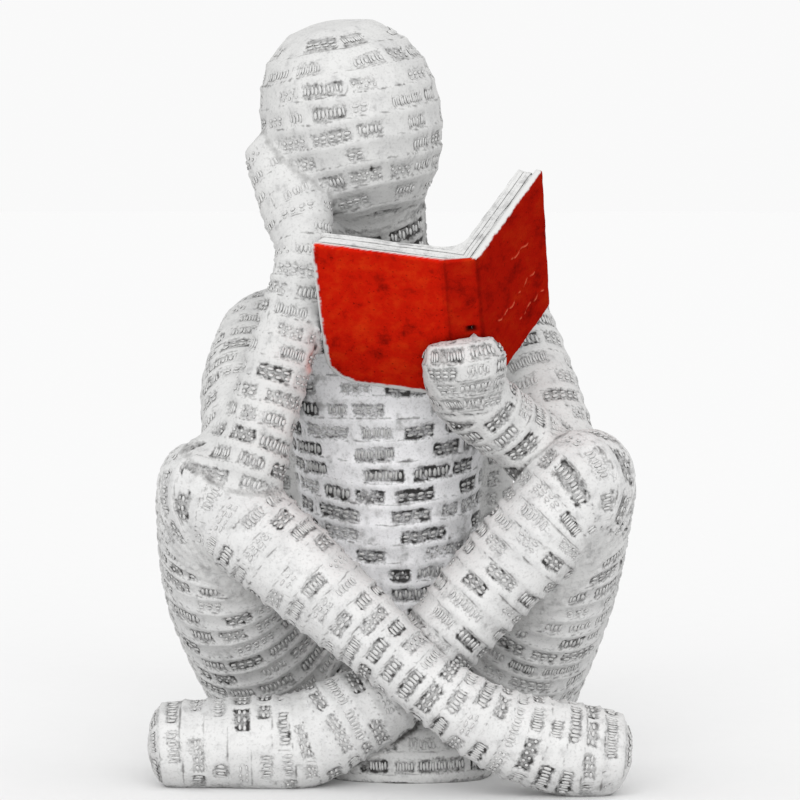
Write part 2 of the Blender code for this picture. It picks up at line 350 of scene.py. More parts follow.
def prepareLimb(limb):
    # the path's centres, directions, radii and lengths, in the frame's metres
    if "ball" in limb:
        lean, bow = (math.radians(a) for a in limb["tilt"])
        pose = np.array(Matrix.Rotation(lean, 3, "Y") @ Matrix.Rotation(bow, 3, "X"))
        limb["centre"] = toFrame(limb["ball"])
        limb["axes"] = np.array([pose @ v for v in ((0, -1, 0), (1, 0, 0), (0, 0, 1))])
        limb["half"] = np.array(limb["halfSize"]) * unit
        limb["reach"] = (-limb["half"][2], limb["half"][2])
        return
    rows = smoothPath(limb["path"])
    centres = (rows[:, :3] + statue["toMiddle"]) * unit
    along = unitRows(np.gradient(centres, axis=0))
    side = np.array(limb.get("side", (0, -1, 0)), float)
    first = unitRows(side - along * (along @ side)[:, None])
    limb["centres"], limb["along"], limb["first"] = centres, along, first
    limb["second"] = np.cross(along, first)
    limb["radii"] = rows[:, 3:] * unit
    turned = np.arccos(np.clip((along[1:] * along[:-1]).sum(1), -1, 1))
    outside = limbRead["fan"] * turned * limb["radii"].mean(1)[1:]
    steps = np.linalg.norm(np.diff(centres, axis=0), axis=1) + outside
    limb["length"] = np.concatenate([[0], np.cumsum(steps)])
    limb["reach"] = (-limb["radii"][0].mean(), limb["length"][-1] + limb["radii"][-1].mean())


def readLimb(limb, points):
    # for each point: distance along the limb, angle round it, gap to its surface, the limb's direction, the
    # ring's radius, and whether the point is on the limb's rounded end
    if "ball" in limb:
        front, across, up = limb["axes"]
        away = points - limb["centre"]
        f, a, u = away @ front, away @ across, away @ up
        half = limb["half"]
        gap = (np.sqrt((f / half[0]) ** 2 + (a / half[1]) ** 2 + (u / half[2]) ** 2) - 1) * half.min()
        ring = np.sqrt(np.clip(1 - (u / half[2]) ** 2, limbRead["ballRing"], 1)) * half[:2].mean()
        capped = np.abs(u) > limbRead["ballCap"] * half[2]
        return u, np.arctan2(a / half[1], f / half[0]), gap, np.broadcast_to(up, points.shape), ring, capped
    nearest = np.empty(len(points), int)
    place = np.empty(len(points))
    for start in range(0, len(points), limbRead["batch"]):
        batch = slice(start, start + limbRead["batch"])
        offset = points[batch][:, None, :] - limb["centres"][None]
        far = np.sqrt((offset ** 2).sum(-1))
        nearest[batch] = far.argmin(1)
        weight = np.exp((far.min(1)[:, None] - far) / (limbRead["blend"] * mm))
        reading = limb["length"] + (offset * limb["along"]).sum(-1)
        place[batch] = (weight * reading).sum(1) / weight.sum(1)
    away = points - limb["centres"][nearest]
    along = limb["along"][nearest]
    ahead = (away * along).sum(1)
    radial = away - along * ahead[:, None]
    radii = limb["radii"][nearest]
    a = (radial * limb["first"][nearest]).sum(1)
    b = (radial * limb["second"][nearest]).sum(1)
    last = len(limb["centres"]) - 1
    beyond = np.where((nearest == 0) & (ahead < 0) | (nearest == last) & (ahead > 0), np.abs(ahead), 0)
    small = radii.min(1)
    gap = (np.sqrt((a / radii[:, 0]) ** 2 + (b / radii[:, 1]) ** 2 + (beyond / small) ** 2) - 1) * small
    capped = beyond > limbRead["pathCap"] * small
    ring = radii.mean(1) * np.sqrt(np.clip(1 - (beyond / small) ** 2, limbRead["pathRing"], 1))
    return place, np.arctan2(b / radii[:, 1], a / radii[:, 0]), gap, along, ring, capped


def layWords(limb, chance):
    # rows of words round the limb: the row's place along it, its radius, and each word's angles and darkness
    low, high = limb["reach"]
    pitch = limb["pitch"] * mm
    limb["firstRow"] = low + pitch * chance.uniform(*words["firstRow"])
    limb["rows"] = []
    fadeLength, fadeShare = words["fade"]
    for k in range(int((high - limb["firstRow"]) / pitch) + 1):
        place = limb["firstRow"] + k * pitch
        if "ball" in limb:
            shrink = max(limbRead["ballRing"], 1 - (place / limb["half"][2]) ** 2)
            radius = math.sqrt(shrink) * limb["half"][:2].mean()
        else:
            radius = float(np.interp(place, limb["length"], limb["radii"].mean(1)))
            beyond = max(0, -place, place - limb["length"][-1])
            radius *= math.sqrt(max(limbRead["pathRing"], 1 - (beyond / radius) ** 2))
        row, seams = [], []
        start = -math.pi * radius + chance.uniform(0, words["firstGap"]) * mm
        end = math.pi * radius - words["lastGap"] * mm
        while True:
            count = chance.choice(words["counts"])
            length = count * words["stroke"] * mm
            if start + length > end:
                # a shorter word closes the ring at the back
                count = int((end - start) / (words["stroke"] * mm))
                if count >= 2:
                    length, dark = count * words["stroke"] * mm, words["lastWash"] * limb["wash"]
                    row.append((start / radius, (start + length) / radius, count, dark))
                break
            dark = limb["wash"] * chance.uniform(*limb.get("spread", words["spread"]))
            if "fadeAbove" in limb:
                dark *= 1 - fadeShare * min(1, max(0, (place - limb["fadeAbove"]) / (fadeLength * mm)))
            if dark > words["faintest"]:
                row.append((start / radius, (start + length) / radius, count, dark))
            wide = chance.random() < limb.get("blank", words["longGapShare"])
            gap = chance.uniform(*(words["longGap"] if wide else words["gap"])) * mm
            start += length + gap
            if chance.random() < words["seamShare"]:
                seams.append((start - gap / 2) / radius)
        limb["rows"].append((place, radius, row, seams))


print("limbs and rows of words")
chance = random.Random(words["seed"])
for limb in limbs.values():
    prepareLimb(limb)
    layWords(limb, chance)


# Book

book = {
    "spineFoot": (12.5, -18.0, 61.3),  # in stations
    "lean": -5.5, "tilt": 47.5,  # degrees
    "leftAngle": 17.0, "rightAngle": 56.0,
    "boardWidth": 20.6, "boardHeight": 31.9, "board": 1.0, "spine": 5.0,  # mm, as all that follows
    "wornCorner": 5.5, "corner": 1.0,
    "flatTo": 1.2,  # the depth behind the spine down to which the inside is flat
    "pages": 2.8, "pagesInset": 0.6, "pageCorner": 0.8, "valley": 3.2,
    "leaves": 5, "leafGap": 0.07, "sunk": 0.03, "unevenLeaves": 0.35,
    "ripple": 0.17, "rippleLength": 2.6, "rippleShift": 17.0,
    "pageWash": (0.06, 0.30, 1.3),  # the least wash, its range and its length
}
bookPlace = (
    Matrix.Translation(Vector(toFrame(book["spineFoot"])))
    @ Matrix.Rotation(math.radians(book["lean"]), 4, "Y")
    @ Matrix.Rotation(math.radians(book["tilt"]), 4, "X")
)
sides = {"left": (-1, math.radians(book["leftAngle"])), "right": (1, math.radians(book["rightAngle"]))}


def onBoard(side, distance, depth):
    # a point of the book's section: distance out from the spine, depth behind the cover's face
    sign, angle = sides[side]
    across = Vector((sign * math.cos(angle), math.sin(angle)))
    inward = Vector((-sign * math.sin(angle), math.cos(angle)))
    return (Vector((sign * book["spine"] / 2, 0)) + across * distance + inward * depth) * mm


def leafCorner(depth):
    # where the two boards' faces meet at that depth
    left, right = onBoard("left", 0, depth), onBoard("right", 0, depth)
    leftWay, rightWay = onBoard("left", 1, depth) - left, onBoard("right", 1, depth) - right
    return left + leftWay * ((right - left).cross(rightWay) / leftWay.cross(rightWay))


def hinge(depth):
    # the section's line at that depth from board to board, flat along the spine and a valley further in
    if depth < book["flatTo"]:
        return [onBoard("left", 0, depth), onBoard("right", 0, depth)]
    return [leafCorner(depth)]


def openSlab(bm, widths, near, far, low, high, radii, valley=0):
    # boards or leaves of the open book between two depths; radii round the fore edge's corners, and valley
    # rounds the inner fold
    outline = [onBoard("left", widths[0], near), *hinge(near), onBoard("right", widths[1], near)]
    outline += [onBoard("right", widths[1], far), *reversed(hinge(far)), onBoard("left", widths[0], far)]
    before = set(bm.verts)
    face = bm.faces.new([bm.verts.new((point.x, point.y, low * mm)) for point in outline])
    raised = bmesh.ops.extrude_face_region(bm, geom=[face])["geom"]
    top = [item for item in raised if isinstance(item, bmesh.types.BMVert)]
    bmesh.ops.translate(bm, verts=top, vec=(0, 0, (high - low) * mm))
    middle = (low + high) / 2 * mm
    rounded = {"profile": 0.5, "affect": "EDGES", "material": -1}
    for radius, side, lower in zip(radii, ("left", "left", "right", "right"), (True, False, True, False)):
        width = widths[0] if side == "left" else widths[1]
        spots = [onBoard(side, width, depth) for depth in (near, far)]
        ends = [
            vert for vert in bm.verts
            if vert not in before and (vert.co.z < middle) == lower
            and any((vert.co.xy - spot).length < 1e-6 for spot in spots)
        ]
        edge = bm.edges.get(ends)
        bmesh.ops.bevel(bm, geom=[edge], offset=radius * mm, segments=6, **rounded)
    if valley:
        fold = [edge for edge in bm.edges if all((v.co.xy - hinge(far)[0]).length < 1e-6 for v in edge.verts)]
        bmesh.ops.bevel(bm, geom=fold, offset=valley * mm, segments=8, **rounded)


def boardPlaces(points):
    # for points in the book's own frame: distance out from the spine, depth behind the cover's face, and 0 on
    # the left board, 1 on the spine or 2 on the right board
    flat = points[:, :2] / mm
    out, depth = [], []
    for side in ("left", "right"):
        sign, angle = sides[side]
        start = np.array((sign * book["spine"] / 2, 0.0))
        across = np.array((sign * math.cos(angle), math.sin(angle)))
        inward = np.array((-sign * math.sin(angle), math.cos(angle)))
        out.append((flat - start) @ across)
        depth.append((flat - start) @ inward)
    which = np.where((out[0] < 0.0) & (out[1] < 0.0), 1, np.where(flat[:, 0] > 0, 2, 0))
    distance = np.choose(which, [out[0], np.abs(flat[:, 0]) - book["spine"] / 2, out[1]])
    deep = np.choose(which, [depth[0], flat[:, 1], depth[1]])
    return distance, deep, which


# Skin

skinLook = {
    "cell": 0.53,  # mm, the size of the skin's faces
    "triangles": 196000,  # in the finished skin
    "smoothing": 9,
    "favoured": (2, 7),  # mm along a limb over which its favour fades
    "meets": 0.1, "flows": 1.1, "alone": 1.2,  # mm between two limbs where they join, and where that is over
    "uneven": ((0.10, 5, 3), (0.05, 1.6, 5)),  # modelled by hand: mm high, mm long and seed of each
    "clearOfBook": 0.16, "besideBook": 1.2,  # mm
    "crevice": 6.5,  # mm, how far the wash, partly painted shade, looks for a neighbouring wall
    "hollow": 22.0,  # mm, the same for the painted shade in the broad hollows of the trunk and thighs
    "thigh": 36.0,  # mm, how much of a leg counts as thigh
    "creaseDepth": 0.38,  # mm, where two limbs press together
    "lineDepth": 0.07, "spotDepth": 0.25,  # mm
    "squeezed": (1.5, 2.2),  # how steep the inside of a bend is where words fade and where they are gone
    "foot": (0.3, 1.5),  # mm above the ground over which the relief starts
    # how strongly each thing darkens: grey wash caught in crevices, creases and pits, and painted shade in
    # crevices, on undersides and in hollows; the least crevice and hollow that darken any, and the most of
    # each
    "wash": {
        "crevice": 2.8, "leastCrevice": 0.48, "below": 0.12, "crease": 0.75, "spot": 1.2,
        "hollow": 2.9, "leastHollow": 0.23, "mostHollow": 0.85, "most": 1.3,
    },
    # pits, then smears of the book's red, on the front: mm across, mm up, half width and half height
    "spots": ((-3.0, 95.9, 0.55, 0.55), (-11.5, 68.3, 0.6, 0.6)),
    "stains": ((-11.9, 65.4, 1.6, 3.6),),
}


def mergedCopy(node):
    bm = bmesh.new()
    bm.from_mesh(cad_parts[node].data)
    bmesh.ops.remove_doubles(bm, verts=bm.verts, dist=1e-6)
    return meshFrom(bm, node + "Copy")


def closedness(points, normals, tree, reach):
    # share of the sky over each point that a wall nearer than reach covers
    tilts = [(0.0, 0.0)]
    tilts += [(math.radians(42), k * math.tau / 5) for k in range(5)]
    tilts += [(math.radians(68), (k + 0.5) * math.tau / 6) for k in range(6)]
    covered = np.zeros(len(points))
    helper = np.where(np.abs(normals[:, 2:3]) < 0.9, (0.0, 0.0, 1.0), (1.0, 0.0, 0.0))
    first = unitRows(np.cross(normals, helper))
    second = np.cross(normals, first)
    starts = points + normals * 0.15 * mm
    for tilt, turn in tilts:
        ways = normals * math.cos(tilt) + (first * math.cos(turn) + second * math.sin(turn)) * math.sin(tilt)
        for i, (start, way) in enumerate(zip(starts, ways)):
            hit = tree.ray_cast(start, way, reach)[3]
            if hit is not None:
                covered[i] += 1 - hit / reach
    return covered / len(tilts)


def frontPatch(points, x, z, wide, tall):
    # 1 in the middle of an oval patch seen from the front, 0 outside it and on what lies behind
    away = np.hypot((points[:, 0] / mm - x) / wide, (points[:, 2] / mm - z) / tall)
    nearest = points[away < 2, 1].min()
    return softStep(-away, -1.0, -0.35) * (points[:, 1] < nearest + 3 * mm)


def steepness(points, place, owner, edges):
    # how fast the place along a limb changes over the skin at each point: 1 where it is straight
    first, second = edges.T
    lengths = np.linalg.norm(points[first] - points[second], axis=1)
    slope = np.abs(place[first] - place[second]) / np.maximum(lengths, 1e-6)
    slope[owner[first] != owner[second]] = 1.0
    steep = np.ones(len(points))
    np.maximum.at(steep, first, slope)
    np.maximum.at(steep, second, slope)
    return steep


def neighbourMeans(points, edges):
    # the mean of each point's neighbours
    total, number = np.zeros_like(points), np.zeros(len(points))
    for first, second in (edges.T, edges.T[::-1]):
        np.add.at(total, first, points[second])
        np.add.at(number, first, 1)
    return total / np.maximum(number, 1)[:, None]


def keepClear(points, indexes, tree, near):
    # moves the points that come nearer to the book than near out of it; says which are beside it
    beside = []
    for i in indexes:
        facing, outward, _, _ = tree.find_nearest(Vector(points[i]), skinLook["besideBook"] * mm)
        if facing is not None:
            beside.append(i)
            if (Vector(points[i]) - facing).dot(outward) < near:
                points[i] = facing + outward * near
    return np.array(beside, int)


def layOnSkin(limb, seed, points, along, turn):
    # on one limb's points: place along it, the strips' relief, their edges, the words and the words' outlines
    along = along + sum(
        grain(points, size * mm, seed + 39 * k) * share for k, (size, share) in enumerate(words["wavers"])
    ) * words["waver"] * mm
    pitch, height = limb["pitch"] * mm, words["height"] * mm
    row = np.clip(np.round((along - limb["firstRow"]) / pitch).astype(int), 0, len(limb["rows"]) - 1)
    across = along - limb["firstRow"] - row * pitch
    swell = np.cos(across / pitch * math.tau)  # 1 on the row, -1 between rows
    shingle = np.where(across < 0, softStep(across, -0.75 * height, -0.5 * height), 1.0)
    lift = -words["bulge"] * mm * swell - limb.get("step", words["step"]) * mm * shingle
    linePlace, lineWidth = words["line"]
    line = softStep(-np.abs(across + linePlace * height), -lineWidth * mm, 0.0)
    inside = softStep(height / 2 + 0.12 * mm - np.abs(across), -0.10 * mm, 0.22 * mm)
    dark, border = np.zeros(len(points)), np.zeros(len(points))
    for k, (_, radius, wordsOnRow, seams) in enumerate(limb["rows"]):
        here = np.nonzero(row == k)[0]
        if not len(here):
            continue
        for seam in seams:
            edge = -np.abs(turn[here] - seam) * radius
            line[here] = np.maximum(line[here], softStep(edge, -words["seamWidth"] * mm, 0.0))
        for start, end, _, strength in wordsOnRow:
            edge = np.minimum(turn[here] - start, end - turn[here]) * radius
            cover = softStep(edge, -0.22 * mm, 0.12 * mm)
            dark[here] = np.maximum(dark[here], cover * strength)
            border[here] = np.maximum(border[here], softStep(-edge, -0.42 * mm, -0.05 * mm) * (cover > 0.3))
    border = np.maximum(border, softStep(np.abs(across), height / 2 - 0.38 * mm, height / 2))
    return along, lift, line, dark * inside, border


def ofPairs(groups, names):
    # which two limbs are together in one of the groups
    return np.array([[any({a, b} <= group for group in groups) for b in names] for a in names])


def makeSkin():
    mesh = remeshed(mergedCopy("figure"), skinLook["cell"] * mm, skinLook["smoothing"])
    points, normals = vertexArrays(mesh)
    edges = rowsOf(mesh.edges, "vertices", 2, np.int32)
    tree = treeOf(mesh, points)
    names, count = list(limbs), len(points)
    print("skin points", count)

    # whose skin each point is, and where two limbs meet
    readings = [readLimb(limbs[name], points) for name in names]
    full, gone = skinLook["favoured"]
    gaps = np.array([
        gap - limbs[name].get("favour", 0) * mm * softStep(-place, -gone * mm, -full * mm)
        for name, (place, _, gap, _, _, _) in zip(names, readings)
    ])
    order = np.argsort(gaps, axis=0)
    owner, other = order[:2]
    apart = np.take_along_axis(gaps, order[1:2], 0)[0] - np.take_along_axis(gaps, order[:1], 0)[0]
    alone = softStep(apart, skinLook["meets"] * mm, skinLook["alone"] * mm)
    touching = 1 - softStep(apart, skinLook["meets"] * mm, skinLook["flows"] * mm)
    joined, soft = ofPairs(sameSkin, names)[owner, other], ofPairs(softSkin, names)[owner, other]
    crevice = closedness(points, normals, tree, skinLook["crevice"] * mm)
    crease = touching * ~joined * np.where(
        soft, softStep(crevice, 0.05, 0.2), 0.6 + 0.4 * softStep(crevice, 0.08, 0.3),
    )
    crease = np.maximum(crease, touching * joined * softStep(crevice, 0.14, 0.3))

    # strips and words
    place, angle, ring, lift, panel, outline, ridge, tone, paintedShade = np.zeros((9, count))
    way, capped = np.zeros((count, 3)), np.zeros(count, bool)
    for i, name in enumerate(names):
        limb, mine = limbs[name], owner == i
        along, turn, _, way[mine], ring[mine], atEnd = (values[mine] for values in readings[i])
        place[mine], lift[mine], line, dark, outline[mine] = layOnSkin(limb, i + 1, points[mine], along, turn)
        angle[mine] = turn
        capped[mine], panel[mine], ridge[mine] = atEnd, dark * ~atEnd, line * ~atEnd
        # each limb's tone, for the painted light on its front, and its painted shade over the whole limb
        tone[mine], paintedShade[mine] = limb.get("tone", 0.0), limb.get("paintedShade", 0.0)
    clear = 1 - softStep(steepness(points, place, owner, edges), *skinLook["squeezed"])
    panel *= clear
    lift -= (panel > 0.02) * np.minimum(1, panel * 3) * words["depth"] * mm
    lift += unevenness(points, skinLook["uneven"]) * mm
    lift = (lift - ridge * skinLook["lineDepth"] * mm) * alone - crease * skinLook["creaseDepth"] * mm
    ground, clearOfGround = skinLook["foot"]
    lift *= softStep(points[:, 2], ground * mm, clearOfGround * mm)
    moved = points + normals * lift[:, None]

    # pits and smears, the flat underside, and the seat of the book
    spot = np.max([frontPatch(moved, *patch) for patch in skinLook["spots"]], axis=0)
    stain = np.max([frontPatch(moved, *patch) for patch in skinLook["stains"]], axis=0)
    moved = moved - normals * (spot * skinLook["spotDepth"] * mm)[:, None]
    flattened = np.maximum(0.0, points[:, 2] * 0.2)
    moved[:, 2] = np.where(points[:, 2] < 0.25 * mm, flattened, np.maximum(moved[:, 2], 0.02 * mm))
    bookTree = BVHTree.FromObject(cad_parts["book"], bpy.context.evaluated_depsgraph_get())
    near = skinLook["clearOfBook"] * mm
    beside = keepClear(moved, range(count), bookTree, near)
    for _ in range(2):
        moved[beside] = (moved[beside] + neighbourMeans(moved, edges)[beside]) / 2
        keepClear(moved, beside, bookTree, near)
    pressed = np.zeros(count, bool)
    pressed[beside] = True
    alone = alone * ~pressed * (clear > 0.5)

    # what the material reads
    trunk = np.isin(owner, [names.index(name) for name in ("torso", "yoke", "neck", "back")])
    legs = np.isin(owner, [names.index(name) for name in ("rightLeg", "leftLeg")])
    broad = trunk | legs & (place < skinLook["thigh"] * mm)
    hollow = np.zeros(count)
    hollow[broad] = closedness(points[broad], normals[broad], tree, skinLook["hollow"] * mm)
    holds = skinLook["wash"]
    # the wash: grey wash caught in crevices, creases and pits, and painted shade, darker where walls close
    # over the skin, on undersides, over a limb's painted shade and in the broad hollows of the trunk and
    # thighs
    wash = np.clip(crevice * holds["crevice"] - holds["leastCrevice"], 0, 1)
    wash += holds["below"] * np.clip(-normals[:, 2], 0, 1) + paintedShade
    wash += holds["crease"] * crease + holds["spot"] * spot
    wash += np.clip((hollow - holds["leastHollow"]) * holds["hollow"], 0, holds["mostHollow"])
    wash = np.clip(wash, 0, holds["most"])
    worn = 0.15 + 0.85 * softStep(grain(points, 0.9 * mm, 9), -0.3, 0.3)
    held = words["floor"] + (1 - words["floor"]) * outline * worn
    finishMesh(mesh, moved, {
        "wash": wash, "ridge": ridge * alone, "stain": stain,
        # the words are darker where the wash and its painted shade are stronger
        "panel": np.clip(panel * held * (0.35 + 0.65 * alone) * (1 + 0.9 * wash), 0, 1),
        # painted light: a lighter white on the faces that look to the front, towards the front lamp
        "paintedFrontLight": tone * softStep(-normals[:, 1], -0.2, 0.5) * alone,
    })
    return mesh, {
        "names": names, "owner": owner, "place": place, "angle": angle, "way": way, "ring": ring,
        "bare": (alone < 0.75) | capped, "points": moved,
    }


print("skin")
skinMesh, field = makeSkin()


# Strokes

strokeLook = {
    "width": 0.45,  # mm
    "height": 0.32,  # mm from root to top
    "root": 0.10,  # mm sunk below the panel
    "top": 0.84,  # the top's share of the root's width
    "sides": 8,
    "across": 0.56,  # the root's radius for a width of 1
    "rootWash": 0.95,
    "families": 8,  # of marks, one to a word
    "variants": 4,
    "stray": 0.75,  # mm, the furthest that a group may lie from the place that its row gives it
    "aboveGround": 1.1,  # mm
    "seed": 5,
}


def strokeKinds():
    # groups of ticks, dashes and pads, none of them a letter: x, y, width and height of each, in mm
    w, tall, dot = strokeLook["width"], 1.5, 0.46
    plans = [
        [(-0.31, 0.12, w, 1.2), (0.32, -0.12, w, 1.2)],
        [(-0.44, 0.05, w * 0.8, 1.35), (0.0, -0.08, w * 0.8, 1.2), (0.44, 0.06, w * 0.8, 1.3)],
        [(0.0, 0.36, 1.05, w), (-0.12, -0.34, 0.75, w)],
        [(0.0, 0.12, 1.0, 0.5), (-0.1, -0.48, 0.7, 0.3)],
        [(-0.34, 0.36, dot, dot), (0.34, -0.36, dot, dot)],
        [(-0.40, 0.0, w, tall), (0.28, 0.0, 0.62, 1.0)],
        [(-0.1, 0.46, 1.0, 0.38), (0.15, -0.42, 0.9, 0.38)],
        [(-0.26, 0.0, 0.62, 1.2), (0.42, 0.05, w * 0.9, 1.3)],
    ]
    chance = random.Random(strokeLook["seed"])
    sides, root = strokeLook["sides"], strokeLook["across"]
    kinds = []
    for k in range(strokeLook["families"] * strokeLook["variants"]):
        bm = bmesh.new()
        panel = bm.verts.layers.float.new("panel")
        for x, y, width, height in plans[k % strokeLook["families"]]:
            width, height = width * chance.uniform(0.85, 1.15), height * chance.uniform(0.9, 1.06)
            x, y = x + chance.uniform(-0.04, 0.04), y + chance.uniform(-0.05, 0.05)
            place = Matrix.Translation((x, y, strokeLook["height"] / 2 - strokeLook["root"]))
            turn = Matrix.Rotation(math.radians(chance.uniform(-6, 6)), 4, "Z")
            size = Matrix.Diagonal((width, height, strokeLook["height"], 1))
            made = bmesh.ops.create_cone(
                bm, cap_ends=True, segments=sides, radius1=root, radius2=root * strokeLook["top"], depth=1,
                matrix=Matrix.Scale(mm, 4) @ place @ turn @ size @ Matrix.Rotation(math.pi / sides, 4, "Z"),
            )
            for vert in made["verts"]:
                vert[panel] = 0.0 if vert.co.z > 0 else strokeLook["rootWash"]
        bmesh.ops.recalc_face_normals(bm, faces=bm.faces)
        kinds.append(meshFrom(bm, "strokeKind"))
    return kinds


def placeStrokes(field, normals, tree):
    # every group of strokes' matrix and kind, by the zone of the body that it is on
    chance = random.Random(strokeLook["seed"] + 1)
    placed = {"upper": [], "torso": [], "legs": []}
    for i, name in enumerate(field["names"]):
        limb = limbs[name]
        mine = np.nonzero(field["owner"] == i)[0]
        if not len(mine):
            continue
        finder = KDTree(len(mine))
        for order, v in enumerate(mine):
            finder.insert((field["place"][v], field["angle"][v] * field["ring"][v], 0), order)
        finder.balance()
        for place, radius, row, _ in limb["rows"]:
            for start, end, count, dark in row:
                family = chance.randrange(strokeLook["families"])
                for j in range(count):
                    turn = start + (j + 0.5) * (end - start) / count
                    _, order, far = finder.find((place, turn * radius, 0))
                    v = mine[order]
                    low = field["points"][v][2] < strokeLook["aboveGround"] * mm
                    if far > strokeLook["stray"] * mm or field["bare"][v] or low:
                        continue
                    normal = Vector(normals[v])
                    up = Vector(field["way"][v])
                    up = (up - normal * up.dot(normal)).normalized()
                    across = up.cross(normal) * ((turn - field["angle"][v]) * radius)
                    spot = Vector(field["points"][v]) + up * (place - field["place"][v]) + across
                    spot, facing, _, _ = tree.find_nearest(spot)
                    facing = (normal + facing * 0.5).normalized()
                    up = (up - facing * up.dot(facing)).normalized()
                    across = up.cross(facing) * chance.uniform(0.9, 1.05)
                    up = up * (words["height"] / 1.75 * chance.uniform(0.86, 1.02))
                    facing = facing * (0.75 + 0.35 * min(1, dark))
                    axes = Matrix((across, up, facing)).transposed().to_4x4()
                    kind = family + strokeLook["families"] * chance.randrange(strokeLook["variants"])
                    placed[limb["zone"]].append((Matrix.Translation(spot) @ axes, kind))
    return placed


def strokePiece(name, placed, kinds):
    bm = bmesh.new()
    bm.verts.layers.float.new("panel")
    for matrix, kind in placed:
        group = kinds[kind].copy()
        group.transform(matrix)
        bm.from_mesh(group)
        bpy.data.meshes.remove(group)
    for face in bm.faces:
        face.smooth = True
    return meshFrom(bm, name)


print("strokes")
_, skinNormals = vertexArrays(skinMesh)
kinds = strokeKinds()
placedStrokes = placeStrokes(field, skinNormals, treeOf(skinMesh, field["points"]))
strokeMeshes = {zone: strokePiece(zone + "Strokes", placed, kinds) for zone, placed in placedStrokes.items()}
for zone, mesh in strokeMeshes.items():
    print(zone, "groups", len(placedStrokes[zone]), "faces", len(mesh.polygons))
for kind in kinds:
    bpy.data.meshes.remove(kind)


# Book pieces

coverLook = {
    "cell": 0.26,  # mm
    # each raised line on the right board: mm up the board, from and to mm out from the spine
    "ridges": ((21.4, 9.0, 15.5), (12.6, 4.0, 17.0), (6.4, 10.5, 19.4)),
    "ridgeHeight": 0.22, "ridgeWidth": 0.42, "hingeDepth": 0.24,  # mm
    "uneven": ((0.08, 3.0, 21), (0.035, 0.8, 22)),  # mm high, mm long and seed of each
    "rim": 0.45, "thinRim": 0.12,  # mm of bare resin beside the left board's paint and the right one's
    "frayed": 0.5,  # mm more on the left board's fore edge, low down
    "ragged": ((0.30, 1.4, 31), (0.16, 0.5, 32)),  # the same of the paint's edge
    # mm, on the spine above the hand
    "pit": {"across": 0.8, "up": 16.0, "width": 0.85, "height": 0.75, "depth": 0.4},
    "smoothing": 3,
}


def makeCover():
    bm = bmesh.new()
    width, height = book["boardWidth"], book["boardHeight"]
    corners = (book["wornCorner"], book["corner"], book["corner"], book["corner"])
    openSlab(bm, (width, width), 0, book["board"], 0, height, corners)
    bmesh.ops.recalc_face_normals(bm, faces=bm.faces)
    mesh = remeshed(meshFrom(bm, "coverSolid"), coverLook["cell"] * mm, coverLook["smoothing"])
    points, normals = vertexArrays(mesh)
    distance, depth, which = boardPlaces(points)
    left, spine, right = which == 0, which == 1, which == 2
    up = points[:, 2] / mm
    outer = softStep(-depth, -0.45, -0.15)

    # raised lines, hinge grooves and the pit
    lift = unevenness(points, coverLook["uneven"])
    crest = np.zeros(len(points))
    for level, near, far in coverLook["ridges"]:
        centre = level + 0.35 * np.sin(distance * 1.9 + level) + 0.45 * np.sin(distance * 0.55 + level)
        fade = softStep(distance, near, near + 0.8) * softStep(-distance, -far, -far + 1.2)
        line = softStep(-np.abs(up - centre), -coverLook["ridgeWidth"], 0.0) * fade * right * outer
        crest = np.maximum(crest, line * softStep(grain(points, 1.1 * mm, 24), -0.55, 0.1))
    crease = np.maximum(
        softStep(-np.abs(distance - 0.35), -0.65, 0.0) * ~spine, softStep(distance, -0.55, -0.05) * spine,
    ) * np.where(points[:, 0] > 0, 1.0, 0.55)
    pit = coverLook["pit"]
    aside, above = (points[:, 0] / mm - pit["across"]) / pit["width"], (up - pit["up"]) / pit["height"]
    hole = np.exp(-(aside ** 4 + above ** 4)) * spine * outer
    lift += crest * coverLook["ridgeHeight"] - coverLook["hingeDepth"] * crease * outer - hole * pit["depth"]

    # where the paint ends
    ragged = unevenness(points, coverLook["ragged"])
    fore, turn, rim, thinRim = width - distance, book["wornCorner"], coverLook["rim"], coverLook["thinRim"]
    wornCorner = np.hypot(np.maximum(0, turn - fore), np.maximum(0, turn - up))
    foreRim = np.where(left, rim + coverLook["frayed"] * softStep(-up, -14, -3), thinRim)
    edge = np.minimum.reduce([
        fore - foreRim,
        np.where(left, turn - wornCorner - foreRim, 9.0),
        up - np.where(left, rim, thinRim),
        height - up + np.where(right, -0.22, 0.3),
    ]) + ragged
    finishMesh(mesh, points + normals * (lift * mm)[:, None], {
        "paint": softStep(edge, -0.12, 0.12) * softStep(-depth + ragged * 0.5, -0.75, -0.45),
        "hinge": np.clip(crease * (0.75 + 0.6 * grain(points, 1.2 * mm, 27)), 0, 1),
        # painted shade: the right board and the spine, turned from the lamp, take deeper red; the left board
        # grows deeper towards its foot
        "shaded": np.choose(which, [0.25 * softStep(-up, -16, -2), 0.65, 1.0]),
        # the raised lines' tops take a lighter pink: partly worn paint, partly a painted highlight
        "crest": crest, "hole": hole,
    })
    mesh.transform(bookPlace)
    return mesh


